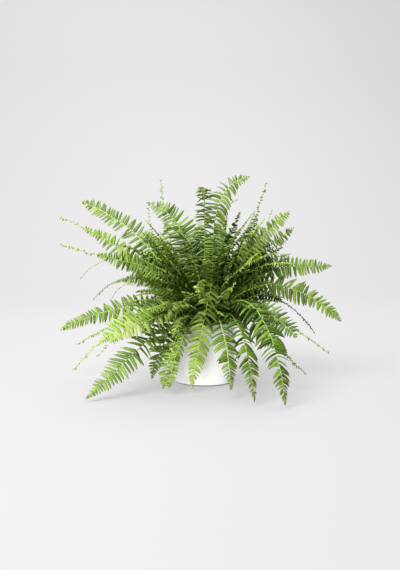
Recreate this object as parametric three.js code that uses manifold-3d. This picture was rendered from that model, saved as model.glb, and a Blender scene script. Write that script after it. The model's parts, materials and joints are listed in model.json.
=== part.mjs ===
// Potted Boston fern: a white glazed cover pot, the plastic grow pot inside it, the potting mix,
// the crown of the plant, and its fronds, each one leaf with its own stalk.
// Millimetres, +Z up. The origin is the centre of the cover pot's base, on the surface it stands on.
// Azimuth 0 points along +X and 90 along +Y, away from the front of the plant.
import * as THREE from "three";
import { mergeVertices } from "three/addons/utils/BufferGeometryUtils.js";
import Module from "manifold-3d";

// ---------------------------------------------------------------- driving dimensions

const gap = 0.3; // between pieces that touch
const degree = Math.PI / 180;

const coverPot = {
  radius: 75, height: 150, wall: 5, floor: 7,
  footRadius: 72.5, footHeight: 1.6, rimRound: 2, floorRound: 8, sides: 48,
};
const growPot = {
  baseRadius: 50, topRadius: 64, lipRadius: 67, lipDepth: 9, wall: 1.6, height: 132,
  drainHoles: 6, drainRadius: 5, drainCircle: 34, sides: 40,
};
const mix = { belowLip: 6, dome: 4, sides: 40 };
const crown = { radius: 46, height: 18, sides: 40 };

const stalk = { baseRadius: 1.6, tipRadius: 0.8, bareShare: 0.15, whipHalfWidth: 3 };
const blade = { stations: 14, samplesBetween: 6, clearance: 0.6, narrowest: 0.7 };
const spread = { pass: 22, rim: 16, rounds: 30 }; // how far apart stalks pass, and how far over the rim

const colours = {
  glaze: 0xf4f4f1, growPlastic: 0x3a2f2a, pottingMix: 0x3b2a1e, crownScales: 0x5a3d22,
  youngLeaf: 0x9cc24a, leaf: 0x5c9430, oldLeaf: 0x2f5e22,
};

// Each frond is given by where its tip is and how it gets there.
//   at      azimuth of the tip, degrees          reach   distance of the tip from the pot's axis
//   height  of the tip above the floor           rise    slope at which the stalk leaves the crown, degrees
//   fall    slope of the tip, degrees, up is +   swing   how far the stalk starts to one side of at, degrees
//   width   half the blade's greatest width      roll    turn of the blade about its stalk, degrees
//   whip    share of the length that is a thin, unopened tip
//   lift    how far the arch is drawn out, as a share of the distance from crown to tip
const fronds = [
  // left side, from the top down
  { at: 170, reach: 315, height: 447, rise: 68, fall: 24, lift: 0.5,
    width: 30, roll: -68, leaf: "young" },
  { at: 178, reach: 362, height: 408, rise: 54, fall: 20,
    width: 17, roll: -35, whip: 0.15 },
  { at: 190, reach: 353, height: 343, rise: 66, fall: 18, lift: 0.5, draw: 0.6,
    width: 22, roll: -50, whip: 0.25 },
  { at: 160, reach: 347, height: 243, rise: 70, fall: -52, lift: 0.55,
    width: 16, roll: 20, whip: 0.2 },
  { at: 150, reach: 345, height: 181, rise: 70, fall: -55, lift: 0.52, draw: 0.3,
    width: 15, roll: -35, whip: 0.25, leaf: "old" },
  { at: 175, reach: 368, height: 122, rise: 59, fall: -28, lift: 0.31,
    width: 22, roll: -40 },
  { at: 195, reach: 318, height: 104, rise: 57, fall: -30, lift: 0.3,
    width: 18, roll: -20, whip: 0.3 },
  { at: 212, reach: 355, height: 63, rise: 75, fall: -46, lift: 0.38, draw: 0.35,
    width: 32, roll: -15, whip: 0.25, leaf: "young" },
  { at: 222, reach: 325, height: 98, rise: 62, fall: -52, lift: 0.28, draw: 0.25,
    width: 22, roll: -20, whip: 0.15, leaf: "young" },
  // front, drooping towards the floor
  { at: 222, reach: 358, height: 8, rise: 56, fall: -28, lift: 0.3, draw: 0.5,
    width: 34, roll: -40, leaf: "old" },
  { at: 208, reach: 145, height: 18, rise: 62, fall: -82,
    width: 28, roll: -10, leaf: "old" },
  { at: 236, reach: 175, height: 10, rise: 60, fall: -84, swing: -8,
    width: 26, roll: 0 },
  { at: 243, reach: 185, height: 12, rise: 64, fall: -80, swing: -12,
    width: 18, roll: 5 },
  { at: 258, reach: 150, height: 10, rise: 78, fall: -76, swing: 55, lift: 1.3, draw: 0.6,
    width: 26, roll: 5, leaf: "young" },
  { at: 285, reach: 225, height: 22, rise: 62, fall: -80, swing: 14,
    width: 25, roll: 0, leaf: "young" },
  { at: 292, reach: 290, height: 8, rise: 60, fall: -76, swing: 12, lift: 0.48,
    width: 32, roll: 0, leaf: "old" },
  { at: 300, reach: 345, height: 8, rise: 60, fall: -80, swing: 16, lift: 0.55, draw: 0.45,
    width: 32, roll: 0 },
  // right side, from the floor up
  { at: 320, reach: 274, height: 135, rise: 62, fall: -50, draw: 0.26,
    width: 28, roll: 25 },
  { at: 335, reach: 266, height: 38, rise: 58, fall: -32,
    width: 18, roll: 20, whip: 0.3 },
  { at: 350, reach: 309, height: 76, rise: 57, fall: -36,
    width: 16, roll: 20, whip: 0.4 },
  { at: 10, reach: 287, height: 109, rise: 70, fall: -62, lift: 0.62, draw: 0.28,
    width: 15, roll: 35, whip: 0.35, leaf: "old" },
  { at: 355, reach: 338, height: 152, rise: 72, fall: -48, lift: 0.58,
    width: 28, roll: 60 },
  { at: 2, reach: 318, height: 286, rise: 74, fall: 2, lift: 0.5, draw: 0.55,
    width: 30, roll: 62, leaf: "old" },
  { at: 15, reach: 235, height: 381, rise: 66, fall: 36,
    width: 22, roll: 70 },
  { at: 345, reach: 213, height: 423, rise: 72, fall: 38,
    width: 22, roll: 60 },
  // upright, round the middle
  { at: 50, reach: 287, height: 422, rise: 62, fall: 58,
    width: 18, roll: 30, whip: 0.2, leaf: "young" },
  { at: 20, reach: 168, height: 500, rise: 66, fall: 72,
    width: 27, roll: 60, whip: 0.25 },
  { at: 355, reach: 111, height: 508, rise: 80, fall: 14,
    width: 27, roll: 50, leaf: "young" },
  { at: 268, reach: 62, height: 456, rise: 86, fall: -60, lift: 0.5,
    width: 28, roll: 0, leaf: "old" },
  { at: 150, reach: 127, height: 502, rise: 72, fall: 88,
    width: 20, roll: -30, whip: 0.3, leaf: "young" },
  { at: 165, reach: 152, height: 442, rise: 79, fall: 10,
    width: 28, roll: -40 },
  { at: 140, reach: 190, height: 433, rise: 62, fall: 88,
    width: 18, roll: -30, whip: 0.25, leaf: "young" },
];

// The far side of the plant and its young middle: fronds set round a whorl by rule, at even
// azimuths from first to last, each a little out of line with its neighbours.
function whorl({ count, first, last, reach, height, rise, fall, width, whip, leaves }) {
  return Array.from({ length: count }, (_, i) => {
    const azimuth = first + ((last - first) * i) / (count - 1);
    const sideways = Math.sin(i * 2.4);
    const upwards = Math.cos(i * 2.4);
    return {
      at: azimuth + 4 * sideways,
      reach: reach * (1 + 0.1 * sideways),
      height: height * (1 + 0.12 * upwards),
      rise: rise + 5 * sideways,
      fall,
      swing: 10 * sideways,
      width,
      roll: 20 * Math.cos(azimuth * degree),
      whip: whip * (1 + 0.4 * upwards),
      leaf: leaves[i % leaves.length],
    };
  });
}

fronds.push(
  ...whorl({ count: 9, first: 46, last: 136, reach: 338, height: 160, rise: 60, fall: -52,
    width: 30, whip: 0.15, leaves: ["mid", "old", "young"] }),
  ...whorl({ count: 8, first: 38, last: 140, reach: 278, height: 300, rise: 62, fall: -22,
    width: 28, whip: 0.15, leaves: ["young", "mid"] }),
  ...whorl({ count: 4, first: 60, last: 125, reach: 175, height: 404, rise: 74, fall: 10,
    width: 24, whip: 0.15, leaves: ["mid", "young"] }),
  ...whorl({ count: 3, first: 232, last: 308, reach: 140, height: 338, rise: 77, fall: -6,
    width: 27, whip: 0.1, leaves: ["old", "mid"] }),
);

// ---------------------------------------------------------------- small helpers

const heading = (azimuth, slope) =>
  new THREE.Vector3(
    Math.cos(slope * degree) * Math.cos(azimuth * degree),
    Math.cos(slope * degree) * Math.sin(azimuth * degree),
    Math.sin(slope * degree),
  );

const clamp = (value, low, high) => Math.min(high, Math.max(low, value));

const group = new THREE.Group();
group.name = "potted_fern";

function add(name, geometry, colour, roughness) {
  const material = new THREE.MeshStandardMaterial({ color: colour, roughness });
  material.name = name;
  const mesh = new THREE.Mesh(geometry, material);
  mesh.name = name;
  group.add(mesh);
}

// Turns a profile of [radius, height] corners round the Z axis; the seam and the axis are welded shut.
function turned(profile, sides) {
  const corners = profile.map(([radius, height]) => new THREE.Vector2(radius, height));
  const geometry = new THREE.LatheGeometry(corners, sides);
  geometry.rotateX(Math.PI / 2);
  geometry.deleteAttribute("uv");
  geometry.deleteAttribute("normal");
  const welded = withoutSlivers(mergeVertices(geometry, 1e-4));
  welded.computeVertexNormals();
  return welded;
}

function withoutSlivers(geometry) {
  const index = geometry.getIndex().array;
  const kept = [];
  for (let i = 0; i < index.length; i += 3) {
    const [a, b, c] = [index[i], index[i + 1], index[i + 2]];
    if (a !== b && b !== c && c !== a) kept.push(a, b, c);
  }
  geometry.setIndex(kept);
  return geometry;
}

// Corners of a quarter turn, from one angle to another, for rounding an edge of a profile.
function rounded(centreRadius, centreHeight, radius, fromAngle, toAngle, steps = 4) {
  return Array.from({ length: steps + 1 }, (_, i) => {
    const angle = (fromAngle + ((toAngle - fromAngle) * i) / steps) * degree;
    return [centreRadius + radius * Math.cos(angle), centreHeight + radius * Math.sin(angle)];
  });
}

// ---------------------------------------------------------------- cover pot

const inside = coverPot.radius - coverPot.wall;
const rim = coverPot.rimRound;

add(
  "pot",
  turned(
    [
      [0, 0],
      [coverPot.footRadius, 0],
      [coverPot.footRadius, coverPot.footHeight],
      ...rounded(coverPot.radius - 2, coverPot.footHeight + 2, 2, -80, 0),
      ...rounded(coverPot.radius - rim, coverPot.height - rim, rim, 0, 90),
      ...rounded(inside + rim, coverPot.height - rim, rim, 90, 180),
      ...rounded(inside - coverPot.floorRound, coverPot.floor + coverPot.floorRound,
        coverPot.floorRound, 0, -90),
      [0, coverPot.floor],
    ],
    coverPot.sides,
  ),
  colours.glaze,
  0.25,
);

// ---------------------------------------------------------------- grow pot

const growBase = coverPot.floor + gap;
const growTop = growBase + growPot.height;
const growRadius = (z) =>
  growPot.baseRadius + ((growPot.topRadius - growPot.baseRadius) * (z - growBase)) / growPot.height;

const { Manifold, Mesh } = await (async () => {
  const kernel = await Module();
  kernel.setup();
  return kernel;
})();

function toManifold(geometry) {
  return new Manifold(
    new Mesh({
      numProp: 3,
      vertProperties: new Float32Array(geometry.getAttribute("position").array),
      triVerts: new Uint32Array(geometry.getIndex().array),
    }),
  );
}

function fromManifold(solid) {
  const mesh = solid.getMesh();
  const geometry = new THREE.BufferGeometry();
  geometry.setAttribute("position", new THREE.BufferAttribute(mesh.vertProperties, 3));
  geometry.setIndex(Array.from(mesh.triVerts));
  geometry.computeVertexNormals();
  return geometry;
}

const growShell = toManifold(
  turned(
    [
      [0, growBase],
      [growPot.baseRadius, growBase],
      [growRadius(growTop - growPot.lipDepth), growTop - growPot.lipDepth],
      [growPot.lipRadius - 0.4, growTop - growPot.lipDepth],
      [growPot.lipRadius, growTop],
      [growPot.topRadius - growPot.wall, growTop],
      [growRadius(growTop - growPot.lipDepth) - growPot.wall, growTop - growPot.lipDepth],
      [growRadius(growBase + growPot.wall) - growPot.wall, growBase + growPot.wall],
      [0, growBase + growPot.wall],
    ],
    growPot.sides,
  ),
);

const drains = Array.from({ length: growPot.drainHoles }, (_, i) => {
  const drill = new THREE.CylinderGeometry(growPot.drainRadius, growPot.drainRadius, 10, 12);
  drill.deleteAttribute("uv");
  drill.deleteAttribute("normal");
  const angle = (i * 2 * Math.PI) / growPot.drainHoles;
  drill.rotateX(Math.PI / 2);
  drill.translate(growPot.drainCircle * Math.cos(angle), growPot.drainCircle * Math.sin(angle), growBase);
  return toManifold(mergeVertices(drill, 1e-4));
});

add("grow_pot", fromManifold(growShell.subtract(Manifold.union(drains))), colours.growPlastic, 0.6);

// ---------------------------------------------------------------- potting mix and crown

const mixEdge = growTop - mix.belowLip;
const mixRadius = (z) => growRadius(z) - growPot.wall - gap;
const mixTop = (radius) => mixEdge + mix.dome * (1 - (radius / mixRadius(mixEdge)) ** 2);

add(
  "potting_mix",
  turned(
    [
      [0, growBase + growPot.wall + gap],
      [mixRadius(growBase + growPot.wall + gap) - gap, growBase + growPot.wall + gap],
      [mixRadius(mixEdge), mixEdge],
      ...[0.85, 0.65, 0.45, 0.25].map((share) => {
        const radius = mixRadius(mixEdge) * share;
        return [radius, mixTop(radius)];
      }),
      [0, mixTop(0)],
    ],
    mix.sides,
  ),
  colours.pottingMix,
  0.95,
);

const crownTop = (radius) =>
  mixTop(crown.radius) + gap + crown.height * (1 - (radius / crown.radius) ** 2);
const crownSteps = [0, 0.2, 0.4, 0.6, 0.8, 1].map((share) => crown.radius * share);

add(
  "crown",
  turned(
    [
      ...crownSteps.map((radius) => [radius, mixTop(radius) + gap]),
      ...crownSteps.slice(0, -1).reverse().map((radius) => [radius, crownTop(radius)]),
    ],
    crown.sides,
  ),
  colours.crownScales,
  0.9,
);

// ---------------------------------------------------------------- fronds

// Places for the feet of the stalks, spread evenly over the crown in a sunflower spiral.
const feet = fronds.map((_, i) => {
  const radius = crown.radius * 0.95 * Math.sqrt((i + 0.5) / fronds.length);
  return heading(i * 137.508, 0).multiplyScalar(radius).setZ(crownTop(radius) + gap);
});

// How far a frond's foot is from where it would like to stand: steep stalks nearer the middle.
function astray({ at, rise, swing = 0 }, foot) {
  const wanted = heading(at + swing, 0).multiplyScalar(crown.radius * Math.cos(rise * degree) ** 0.8);
  return (foot.x - wanted.x) ** 2 + (foot.y - wanted.y) ** 2;
}

// Fronds trade feet for as long as a trade suits the pair.
for (let traded = true; traded; ) {
  traded = false;
  for (let a = 0; a < fronds.length; a++) {
    for (let b = a + 1; b < fronds.length; b++) {
      const now = astray(fronds[a], feet[a]) + astray(fronds[b], feet[b]);
      const then = astray(fronds[a], feet[b]) + astray(fronds[b], feet[a]);
      if (then < now - 1e-6) {
        [feet[a], feet[b]] = [feet[b], feet[a]];
        traded = true;
      }
    }
  }
}

// The line of the stalk: out of the crown at its rise, over, and down or up to its tip.
function stalkLine({ at, reach, height, rise, fall, swing = 0, lift = 0.42, draw = 0.36 }, from) {
  const to = heading(at, 0).multiplyScalar(reach).setZ(height);
  const chord = from.distanceTo(to);
  return new THREE.CubicBezierCurve3(
    from,
    from.clone().addScaledVector(heading(at + swing, rise), lift * chord),
    to.clone().addScaledVector(heading(at - swing / 2, fall), -draw * chord),
    to,
  );
}

// Half the width wanted at a share of the length: bare stalk, full blade, taper, and any thin tip.
function outline({ width, whip = 0 }, share) {
  const stalkHalf = stalk.baseRadius + (stalk.tipRadius - stalk.baseRadius) * share;
  if (share < stalk.bareShare) return stalkHalf;
  const unrolled = (share - stalk.bareShare) / (1 - whip - stalk.bareShare);
  const taper = unrolled < 1 ? (1 - unrolled ** 3) ** 0.8 * clamp(unrolled / 0.18, 0.15, 1) ** 0.6 : 0;
  const thin = whip > 0 ? stalk.whipHalfWidth : 0;
  return Math.max(stalkHalf, thin, width * taper);
}

// Points along a stalk at its stations and evenly between them.
const between = (points, steps) =>
  points.slice(0, -1).flatMap((point, i) =>
    Array.from({ length: steps }, (_, k) => point.clone().lerp(points[i + 1], k / steps)));

// Nearest point of the middle of the cover pot's wall.
function nearestWall(point) {
  const middle = coverPot.radius - coverPot.wall / 2;
  const level = new THREE.Vector3(point.x, point.y, 0).setLength(middle);
  return level.setZ(Math.min(point.z, coverPot.height));
}

const plants = fronds.map((frond, i) => {
  return { frond, points: stalkLine(frond, feet[i]).getSpacedPoints(blade.stations - 1) };
});

// Bends a stalk by a push that is felt round one place, and neither at its foot nor at its tip.
function bend(plant, middle, push) {
  const last = plant.points.length - 1;
  plant.points.forEach((point, i) => {
    const share = i / last;
    const near = Math.exp(-(((share - middle) / 0.2) ** 2));
    point.addScaledVector(push, near * clamp(share * 3, 0, 1) * clamp((1 - share) * 3, 0, 1));
  });
}

// Stalks lean out of each other's way, and over the rim, until they pass at a fair distance.
// The distance asked for grows from nothing at the crown, where the stalks stand close together.
for (let round = 0; round < spread.rounds; round++) {
  const lines = plants.map((plant) => between(plant.points, 3));
  lines.forEach((line, a) => {
    line.forEach((point, i) => {
      const away = point.clone().sub(nearestWall(point));
      const short = spread.rim - away.length();
      if (short > 0 && point.z > coverPot.height - 5) {
        bend(plants[a], i / line.length, new THREE.Vector3(0, 0, short * 0.3));
      }
    });
    for (let b = a + 1; b < lines.length; b++) {
      let nearest = { short: 0 };
      line.forEach((p, i) => lines[b].forEach((q, k) => {
        const asked = spread.pass * clamp(Math.min(i / line.length, k / line.length) * 2.2, 0.1, 1);
        const short = asked - p.distanceTo(q);
        if (short > nearest.short) nearest = { short, p, q, i, k };
      }));
      if (nearest.short <= 0) continue;
      const push = nearest.p.clone().sub(nearest.q).setLength(nearest.short * 0.3);
      bend(plants[a], nearest.i / line.length, push);
      bend(plants[b], nearest.k / line.length, push.negate());
    }
  });
}

for (const plant of plants) {
  const { frond, points } = plant;
  const across = heading(frond.at + 90, 0);
  plant.frames = points.map((_, i) => {
    const ahead = points[Math.min(i + 1, points.length - 1)];
    const along = ahead.clone().sub(points[Math.max(i - 1, 0)]).normalize();
    const level = across.clone().addScaledVector(along, -across.dot(along)).normalize();
    const face = along.clone().cross(level);
    const turn = (frond.roll ?? 0) * degree * clamp((i / points.length) * 3, 0, 1);
    const side = level.multiplyScalar(Math.cos(turn)).addScaledVector(face, Math.sin(turn));
    return { side, face: along.clone().cross(side) };
  });
  plant.samples = [...between(points, blade.samplesBetween), points.at(-1)];
}

// Half the distance from each sample to the nearest other stalk, so that no two blades can meet.
for (const plant of plants) {
  const others = plants.filter((other) => other !== plant).flatMap((other) => other.samples);
  plant.room = plant.samples.map((sample) => {
    const distances = others.map((point) => sample.distanceToSquared(point));
    const nearest = distances.reduce((least, distance) => Math.min(least, distance));
    const byPot = sample.distanceTo(nearestWall(sample)) - coverPot.wall / 2 - gap;
    return Math.min((Math.sqrt(nearest) - blade.clearance) / 2, byPot);
  });
}

function roomAt(plant, station) {
  const middle = station * blade.samplesBetween;
  const first = Math.max(0, middle - blade.samplesBetween);
  return Math.min(...plant.room.slice(first, middle + blade.samplesBetween + 1));
}

// One closed blade: a ring of four corners at every station, a flat foot and a pointed tip.
function frondGeometry(plant) {
  const { frond, points, frames } = plant;
  const corners = [];
  points.slice(0, -1).forEach((point, i) => {
    const share = i / (points.length - 1);
    const { side, face } = frames[i];
    const overFloor = (point.z - gap) / Math.max(Math.abs(side.z), 0.01);
    const halfWidth = Math.min(outline(frond, share), roomAt(plant, i), overFloor);
    if (halfWidth < blade.narrowest) throw new Error(`the frond at ${frond.at} has no room at station ${i}`);
    const stalkHalf = stalk.baseRadius + (stalk.tipRadius - stalk.baseRadius) * share;
    const halfDepth = Math.min(stalkHalf * 0.8, halfWidth * 0.8);
    const ring = [[side, halfWidth], [face, halfDepth], [side, -halfWidth], [face, -halfDepth]];
    for (const [arm, length] of ring) {
      const corner = point.clone().addScaledVector(arm, length);
      if (i === 0) corner.z = crownTop(Math.hypot(corner.x, corner.y)) + gap;
      corners.push(corner);
    }
  });
  corners.push(points.at(-1));

  const faces = [0, 2, 1, 0, 3, 2];
  const rings = points.length - 1;
  for (let i = 0; i < rings - 1; i++) {
    for (let k = 0; k < 4; k++) {
      const [a, b] = [4 * i + k, 4 * i + ((k + 1) % 4)];
      // both faces of the blade split from its edge, so that a turning blade doesn't cut itself
      if (k % 2 === 0) faces.push(a, b, b + 4, a, b + 4, a + 4);
      else faces.push(a, b, a + 4, b, b + 4, a + 4);
    }
  }
  const last = 4 * (rings - 1);
  for (let k = 0; k < 4; k++) faces.push(last + k, last + ((k + 1) % 4), 4 * rings);

  const geometry = new THREE.BufferGeometry();
  const numbers = corners.flatMap((corner) => corner.toArray());
  geometry.setAttribute("position", new THREE.Float32BufferAttribute(numbers, 3));
  geometry.setIndex(faces);
  geometry.computeVertexNormals();
  return geometry;
}

const leafColours = { young: colours.youngLeaf, mid: colours.leaf, old: colours.oldLeaf };

plants.forEach((plant, i) => {
  const name = `frond_${String(i + 1).padStart(2, "0")}`;
  add(name, frondGeometry(plant), leafColours[plant.frond.leaf ?? "mid"], 0.55);
});

export default group;
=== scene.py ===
import json
import math

import bpy
import numpy as np
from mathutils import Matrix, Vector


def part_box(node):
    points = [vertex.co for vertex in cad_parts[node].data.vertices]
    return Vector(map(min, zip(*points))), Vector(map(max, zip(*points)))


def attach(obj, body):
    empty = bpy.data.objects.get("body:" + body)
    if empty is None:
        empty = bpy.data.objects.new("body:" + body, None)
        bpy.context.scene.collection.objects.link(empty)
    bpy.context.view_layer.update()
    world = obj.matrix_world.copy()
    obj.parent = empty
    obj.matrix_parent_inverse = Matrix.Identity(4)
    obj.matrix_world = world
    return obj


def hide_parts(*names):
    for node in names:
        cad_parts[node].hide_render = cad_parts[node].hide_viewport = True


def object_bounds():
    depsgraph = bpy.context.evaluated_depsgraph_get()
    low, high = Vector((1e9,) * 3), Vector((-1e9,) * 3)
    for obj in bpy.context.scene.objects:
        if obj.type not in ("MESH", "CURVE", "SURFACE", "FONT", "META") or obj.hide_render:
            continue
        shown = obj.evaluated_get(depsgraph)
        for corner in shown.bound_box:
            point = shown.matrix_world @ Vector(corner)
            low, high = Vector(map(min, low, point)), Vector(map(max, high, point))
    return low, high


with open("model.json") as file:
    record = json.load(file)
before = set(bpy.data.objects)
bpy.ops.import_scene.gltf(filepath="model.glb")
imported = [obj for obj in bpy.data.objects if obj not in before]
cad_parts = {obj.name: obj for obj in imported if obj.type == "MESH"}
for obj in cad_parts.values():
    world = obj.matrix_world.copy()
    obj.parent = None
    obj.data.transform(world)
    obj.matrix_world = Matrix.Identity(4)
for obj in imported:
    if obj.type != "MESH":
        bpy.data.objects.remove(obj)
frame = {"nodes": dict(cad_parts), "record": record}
cadLow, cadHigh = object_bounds()
cadNodes = frame["nodes"]
slotOf = {part["node"]: part["material_slot"] for part in frame["record"]["subparts"]}
frondNames = sorted(name for name in cadNodes if name.startswith("frond_"))
mm = 0.001
fullTurn = 2 * np.pi
up = np.array([0.0, 0.0, 1.0])
axisRadius = 0.0001 * mm  # where a turned outline ends: on the axis, or as good as

scene = bpy.context.scene
scene.view_settings.view_transform = "Standard"
scene.view_settings.look = "High Contrast"


# a socket that can stand in a Python expression: each operator adds its Math node
class Link:
    def __init__(self, finish, socket):
        self.finish, self.socket = finish, socket

    def math(self, operation, *terms):
        return self.finish.node("ShaderNodeMath", {"operation": operation}, dict(enumerate(terms)))

    def __add__(self, other):
        return self.math("ADD", self, other)

    def __radd__(self, other):
        return self.math("ADD", other, self)

    def __sub__(self, other):
        return self.math("SUBTRACT", self, other)

    def __rsub__(self, other):
        return self.math("SUBTRACT", other, self)

    def __mul__(self, other):
        return self.math("MULTIPLY", self, other)

    def __rmul__(self, other):
        return self.math("MULTIPLY", other, self)

    def size(self):
        return self.math("ABSOLUTE", self)

    # a sine wave that runs between 0 and 1
    def wave(self):
        return self.math("SINE", self) * 0.5 + 0.5

    # 0 below low, 1 above high, and a soft step between
    def step(self, low, high):
        settings = {"interpolation_type": "SMOOTHSTEP"}
        return self.finish.node("ShaderNodeMapRange", settings, {0: self, 1: low, 2: high})


# one material under construction
class Finish:
    def __init__(self, name):
        self.material = bpy.data.materials.new(name)
        self.material.use_nodes = True
        self.tree = self.material.node_tree
        self.tree.nodes.clear()
        self.place = self.node("ShaderNodeTexCoord", output="Object")

    def feed(self, socket, value):
        if isinstance(value, Link):
            self.tree.links.new(value.socket, socket)
        elif socket.type == "RGBA":
            socket.default_value = (*value, 1.0)
        else:
            socket.default_value = value

    # any node: its type, its settings, what its sockets hold, and which output is wanted
    def node(self, kind, settings=None, values=None, output=0):
        made = self.tree.nodes.new(kind)
        for key, value in (settings or {}).items():
            setattr(made, key, value)
        for key, value in (values or {}).items():
            self.feed(made.inputs[key], value)
        return Link(self, made.outputs[output])

    # the four channels of one of the piece's colour attributes
    def channels(self, attribute):
        named = {"attribute_name": attribute}
        colour = self.node("ShaderNodeAttribute", named, output="Color")
        parts = [self.node("ShaderNodeSeparateColor", {}, {0: colour}, channel) for channel in range(3)]
        return [*parts, self.node("ShaderNodeAttribute", named, output="Alpha")]

    # where the surface is along one axis, in metres
    def coordinate(self, axis):
        return self.node("ShaderNodeSeparateXYZ", {}, {0: self.place}, axis)

    def mix(self, factor, first, second):
        settings = {"data_type": "RGBA", "clamp_factor": True}
        return self.node("ShaderNodeMix", settings, {0: factor, 6: first, 7: second}, 2)

    def noise(self, scale, detail=3.0, roughness=0.5):
        values = {"Vector": self.place, "Scale": scale, "Detail": detail, "Roughness": roughness}
        return self.node("ShaderNodeTexNoise", {}, values)

    def bump(self, height, distance, strength):
        values = {"Height": height, "Distance": distance, "Strength": strength}
        return self.node("ShaderNodeBump", {}, values)

    def principled(self, values):
        return self.node("ShaderNodeBsdfPrincipled", {}, values)

    def done(self, shader):
        output = self.tree.nodes.new("ShaderNodeOutputMaterial")
        self.tree.links.new(shader.socket, output.inputs["Surface"])
        return self.material


# a colour times a number, no brighter than white
def scaled(colour, factor):
    return tuple(min(1, factor * part) for part in colour)


# each vector divided by its length
def unit(vectors):
    return vectors / np.maximum(np.linalg.norm(vectors, axis=-1, keepdims=True), 1e-12)


# the products of two vectors' parts, added up
def dot(a, b):
    return (a * b).sum(-1, keepdims=True)


# what is left of a vector without its part along an axis, so at right angles to it
def squareTo(vectors, axis):
    return unit(vectors - dot(vectors, axis) * axis)


# Corners and faces of closed shells. rings is (shells, rows, corners round, 3 + extra channels):
# quads join each ring to the next, and a fan of triangles to its middle closes each end.
def closedShells(rings):
    shells, rows, around, channels = rings.shape
    ends = rings[:, [0, -1]].mean(axis=2)
    corners = np.concatenate([rings.reshape(shells, rows * around, channels), ends], axis=1)
    row, corner = np.meshgrid(np.arange(rows - 1), np.arange(around), indexing="ij")
    following = (corner + 1) % around
    quads = np.stack([row * around + corner, row * around + following,
                      (row + 1) * around + following, (row + 1) * around + corner], -1).reshape(-1, 4)
    last, middle = (rows - 1) * around, rows * around
    rim = np.arange(around)
    foot = np.stack([(rim + 1) % around, rim, np.full(around, middle)], -1)
    tip = np.stack([last + rim, last + (rim + 1) % around, np.full(around, middle + 1)], -1)
    offset = (np.arange(shells) * corners.shape[1])[:, None, None]
    return (corners.reshape(-1, channels), (quads + offset).reshape(-1, 4),
            (np.concatenate([foot, tip]) + offset).reshape(-1, 3))


# closed shells whose corners also carry channels for the material, each a number or an array
def shellsWith(rings, *channels):
    spread = [np.broadcast_to(channel, rings.shape[:3])[..., None] for channel in channels]
    return closedShells(np.concatenate([rings, *spread], -1))


# joins several sets of corners, quads and triangles into one
def joined(parts):
    counts = np.cumsum([0] + [len(part[0]) for part in parts[:-1]])
    return (np.concatenate([part[0] for part in parts]),
            np.concatenate([part[1] + start for part, start in zip(parts, counts)]),
            np.concatenate([part[2] + start for part, start in zip(parts, counts)]))


# makes the mesh object; channels past the third go into colour attributes of four channels each
def makePiece(name, surface, material, attributes=()):
    corners, quads, triangles = surface
    mesh = bpy.data.meshes.new(name)
    mesh.vertices.add(len(corners))
    mesh.vertices.foreach_set("co", np.ascontiguousarray(corners[:, :3], np.float32).ravel())
    loops = np.concatenate([quads.ravel(), triangles.ravel()]).astype(np.int32)
    mesh.loops.add(len(loops))
    mesh.loops.foreach_set("vertex_index", loops)
    sizes = np.repeat([4, 3], [len(quads), len(triangles)])
    starts = np.concatenate([[0], np.cumsum(sizes)[:-1]]).astype(np.int32)
    mesh.polygons.add(len(sizes))
    mesh.polygons.foreach_set("loop_start", starts)
    mesh.polygons.foreach_set("use_smooth", np.ones(len(sizes), bool))
    for i, attribute in enumerate(attributes):
        layer = mesh.attributes.new(attribute, "FLOAT_COLOR", "POINT")
        values = corners[:, 3 + 4 * i: 7 + 4 * i]
        layer.data.foreach_set("color", np.ascontiguousarray(values, np.float32).ravel())
    mesh.update()
    mesh.validate()
    mesh.materials.append(material)
    piece = bpy.data.objects.new(name, mesh)
    scene.collection.objects.link(piece)
    return piece


# a piece rides on the one body and stands for its CAD node, which it hides
def standFor(piece, node):
    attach(piece, "root")
    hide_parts(node)


# the corners of a CAD node's mesh
def cornersOf(node):
    vertices = cadNodes[node].data.vertices
    places = np.zeros(len(vertices) * 3)
    vertices.foreach_get("co", places)
    return places.reshape(-1, 3)


# a profile of [radius, height] carried round the Z axis; both ends of the profile lie on the axis
def turned(profile, sides):
    angle = np.linspace(0, fullTurn, sides, endpoint=False)
    radius, height = profile[:, 0][:, None], profile[:, 1][:, None]
    rings = np.stack([radius * np.cos(angle), radius * np.sin(angle), height + 0 * angle], -1)
    return rings[None]


# corners of an arc of a profile: centre plus radius times cosine and sine of evenly spaced angles
def arc(centre, radius, fromAngle, toAngle, steps=8):
    angle = np.radians(np.linspace(fromAngle, toAngle, steps + 1))
    return np.stack([centre[0] + radius * np.cos(angle), centre[1] + radius * np.sin(angle)], -1)


# a dome is a parabola: full height over its middle and none at its rim, where the share is 1
def domeHeight(rim, top, share):
    return rim + (top - rim) * (1 - share ** 2)


# a round section carried along a path: the section's two axes are kept square to the path
def tube(points, radii, axis, sides):
    along = unit(np.gradient(points, axis=0))
    across = squareTo(axis, along)
    other = np.cross(along, across)
    angle = np.linspace(0, fullTurn, sides, endpoint=False)[None, :, None]
    ring = np.cos(angle) * across[:, None] + np.sin(angle) * other[:, None]
    return (points[:, None] + radii[:, None, None] * ring)[None]


# A lumpy field: the mean of some sine waves of random directions and phases, then of as many
# that are twice as fine and little more than half as high, and so on for each octave.
def lumps(places, coarsest, octaves, random):
    waves, fade = 5, 0.55
    height = np.zeros(places.shape[:-1])
    for octave in range(octaves):
        for _ in range(waves):
            direction = unit(random.normal(size=places.shape[-1])) * fullTurn / coarsest * 2 ** octave
            height += np.sin(places @ direction + random.uniform(0, fullTurn)) * fade ** octave / waves
    return height


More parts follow.
